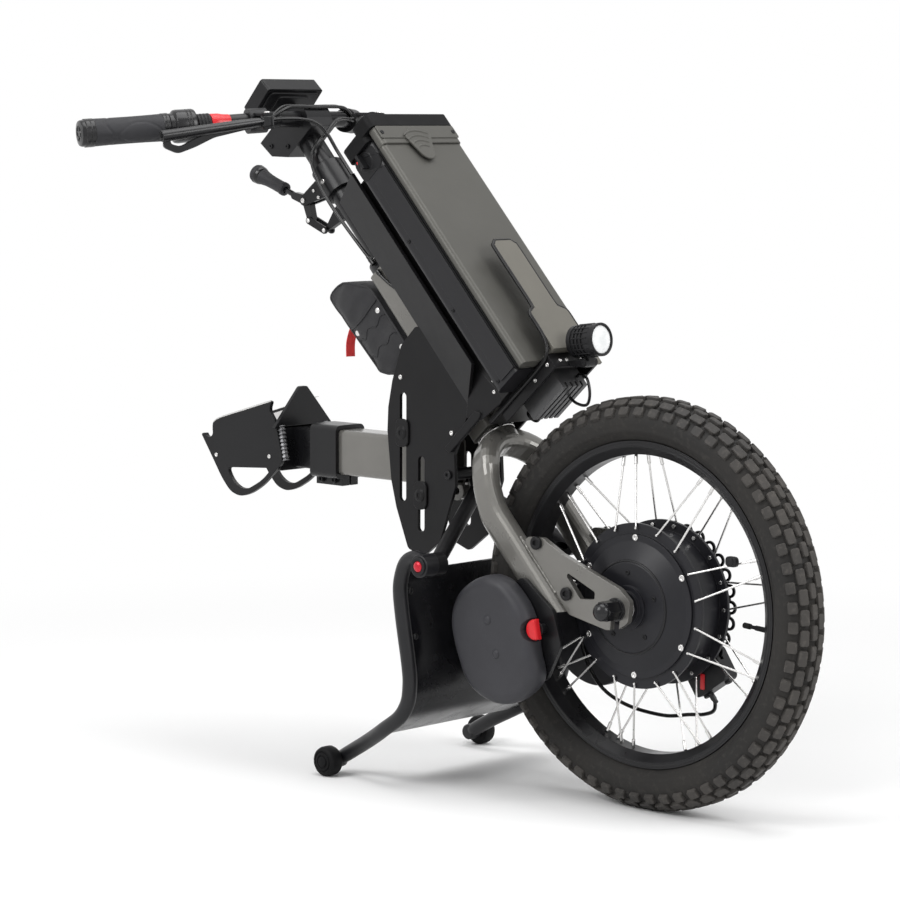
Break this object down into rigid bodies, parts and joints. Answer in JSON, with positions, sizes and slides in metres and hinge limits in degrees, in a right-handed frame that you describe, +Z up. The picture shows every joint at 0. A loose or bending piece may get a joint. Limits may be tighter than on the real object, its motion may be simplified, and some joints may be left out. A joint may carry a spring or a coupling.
{
  "type": "clip-on electric front-wheel drive for a wheelchair",
  "caption": "Electric front-wheel drive unit that docks to a wheelchair: steered hub-motor wheel, battery, handlebar, docking arm, ballast weights and fold-up parking stand.",
  "frame": {"origin": "middle of the footprint of the overall box, on the ground", "axes": "+X forward in the direction of travel, +Y to the rider's left, +Z up; ground at z = 0"},
  "size_m": [1.0539, 0.652, 0.9247],
  "materials": {
    "tyre_rubber": "matte moulded rubber",
    "rim_black": "satin black anodised",
    "bright_steel": "bright",
    "motor_black": "satin black powder coat",
    "black_steel": "black oxide",
    "greige_paint": "warm grey metallic paint",
    "copper_core": "wound core",
    "caliper_black": "black anodised",
    "black_rubber": "matte",
    "ballast_black": "textured black coat",
    "red_plastic": "red",
    "plate_black": "satin black powder coat",
    "rail_black": "black",
    "olive_metal": "olive grey paint",
    "controller_grey": "cast grey",
    "red_metal": "red anodised",
    "lamp_black": "black",
    "lamp_lens": "clear",
    "bag_cloth": "woven nylon",
    "battery_charcoal": "charcoal",
    "battery_olive": "olive grey",
    "black_plastic": "black",
    "stem_black": "black",
    "lever_black": "black",
    "panel_black": "semi-gloss black"
  },
  "bodies": {
    "frame": {"side_plates": "plate_black", "head_tube": "greige_paint", "headset_bearings": "bright_steel", "battery_rail": "rail_black", "battery_tray": "plate_black", "guard_plate": "olive_metal", "controller_box": "controller_grey", "frame_cables": "black_rubber", "stand_yoke": "plate_black", "pivot_bolts": "red_metal", "bag": "bag_cloth"},
    "steering": {"fork": "greige_paint", "dropout_plates": "greige_paint", "axle": "bright_steel", "axle_nuts": "black_steel", "motor_stator": "copper_core", "motor_bearings": "bright_steel", "brake_caliper": "caliper_black", "brake_hose": "black_rubber", "ballast_brackets": "black_steel", "ballast_weights": "ballast_black", "stem_tube": "stem_black", "bar_clamp": "stem_black", "handlebar": "stem_black", "grips": "black_rubber", "control_pods": "black_plastic", "bar_cables": "black_rubber", "latch_base": "black_steel"},
    "wheel": {"tyre": "tyre_rubber", "rim": "rim_black", "spokes": "bright_steel", "motor_shell": "motor_black", "motor_covers": "motor_black", "brake_disc": "black_steel"},
    "ballast_knob_right": {"ballast_knob_right": "red_plastic"},
    "ballast_knob_left": {"ballast_knob_left": "red_plastic"},
    "headlight": {"headlight_body": "lamp_black", "headlight_lens": "lamp_lens"},
    "battery": {"battery_case": "battery_charcoal", "battery_cover": "battery_olive", "battery_cap": "battery_olive", "battery_handle": "black_rubber"},
    "key_switch": {"key_switch": "black_plastic"},
    "throttle": {"throttle_sleeve": "black_plastic"},
    "brake_lever_right": {"brake_lever_right": "lever_black"},
    "brake_lever_left": {"brake_lever_left": "lever_black"},
    "latch_lever": {"latch_lever": "lever_black"},
    "latch_hook": {"latch_hook": "black_steel"},
    "display": {"display_case": "black_plastic"},
    "display_button": {"display_button": "black_plastic"},
    "arm": {"docking_arm": "greige_paint", "arm_bolts": "black_steel", "arm_clamp": "stem_black"},
    "dock": {"dock_tube": "stem_black", "dock_plates": "plate_black"},
    "stand": {"stand_frame": "stem_black", "stand_panel": "panel_black"},
    "stand_wheel_right": {"stand_wheel_right": "black_rubber"},
    "stand_wheel_left": {"stand_wheel_left": "black_rubber"}
  },
  "joints": [
    {"name": "steering", "type": "hinge", "parent": "frame", "child": "steering", "pos_m": [0.00049, 0, 0.45503], "axis": [-0.6756, 0, 0.7373], "range_deg": [-30, 30]},
    {"name": "wheel_spin", "type": "hinge", "parent": "steering", "child": "wheel", "pos_m": [0.26651, 0, 0.263], "axis": [0, 1, 0], "continuous": true},
    {"name": "brake_lever_right_pull", "type": "hinge", "parent": "steering", "child": "brake_lever_right", "pos_m": [-0.32436, -0.10605, 0.86752], "axis": [0.0273, 0.0642, -0.9976], "range_deg": [0, 10], "stiffness_Nm_per_rad": 1.2},
    {"name": "brake_lever_left_pull", "type": "hinge", "parent": "steering", "child": "brake_lever_left", "pos_m": [-0.32436, 0.10605, 0.86752], "axis": [-0.0273, 0.0642, 0.9976], "range_deg": [0, 10], "stiffness_Nm_per_rad": 1.2},
    {"name": "throttle_turn", "type": "hinge", "parent": "steering", "child": "throttle", "pos_m": [-0.40047, -0.17019, 0.86131], "axis": [-0.3898, -0.9183, -0.0698], "range_deg": [0, 60], "stiffness_Nm_per_rad": 0.15},
    {"name": "latch_lever_swing", "type": "hinge", "parent": "steering", "child": "latch_lever", "pos_m": [-0.35575, 0, 0.75794], "axis": [0, -1, 0], "range_deg": [0, 40]},
    {"name": "latch_hook_swing", "type": "hinge", "parent": "latch_lever", "child": "latch_hook", "pos_m": [-0.34703, 0, 0.73066], "axis": [0, -1, 0], "range_deg": [-88, 0]},
    {"name": "display_tilt", "type": "hinge", "parent": "steering", "child": "display", "pos_m": [-0.39271, 0, 0.88412], "axis": [0, 1, 0], "range_deg": [-12, 12]},
    {"name": "display_button_press", "type": "slide", "parent": "display", "child": "display_button", "axis": [0.7716, 0, -0.6361], "range_m": [0, 0.001], "stiffness_N_per_m": 900},
    {"name": "headlight_tilt", "type": "hinge", "parent": "frame", "child": "headlight", "pos_m": [0.15949, 0, 0.56275], "axis": [0, 1, 0], "range_deg": [-10, 12]},
    {"name": "battery_lift", "type": "slide", "parent": "frame", "child": "battery", "axis": [-0.6756, 0, 0.7373], "range_m": [0, 0.06]},
    {"name": "key_turn", "type": "hinge", "parent": "battery", "child": "key_switch", "pos_m": [-0.17071, -0.073, 0.81356], "axis": [0, -1, 0], "range_deg": [0, 90]},
    {"name": "arm_height", "type": "slide", "parent": "frame", "child": "arm", "axis": [0, 0, 1], "range_m": [-0.04, 0.04]},
    {"name": "dock_extend", "type": "slide", "parent": "arm", "child": "dock", "axis": [-1, 0, 0], "range_m": [-0.03, 0.06]},
    {"name": "stand_fold", "type": "hinge", "parent": "frame", "child": "stand", "pos_m": [0.01449, 0, 0.30103], "axis": [0, 1, 0], "range_deg": [0, 45]},
    {"name": "stand_wheel_right_spin", "type": "hinge", "parent": "stand", "child": "stand_wheel_right", "pos_m": [-0.16451, -0.15, 0.02], "axis": [0, 1, 0], "continuous": true},
    {"name": "ballast_knob_right_turn", "type": "hinge", "parent": "steering", "child": "ballast_knob_right", "pos_m": [0.16049, -0.08, 0.22903], "axis": [0, 1, 0], "range_deg": [0, 90]},
    {"name": "stand_wheel_left_spin", "type": "hinge", "parent": "stand", "child": "stand_wheel_left", "pos_m": [-0.16451, 0.15, 0.02], "axis": [0, 1, 0], "continuous": true},
    {"name": "ballast_knob_left_turn", "type": "hinge", "parent": "steering", "child": "ballast_knob_left", "pos_m": [0.16049, 0.08, 0.22903], "axis": [0, 1, 0], "range_deg": [0, 90]}
  ],
  "couplings": [
    {"joint": "latch_hook_swing", "follows": "latch_lever_swing", "ratio": -2.2}
  ]
}
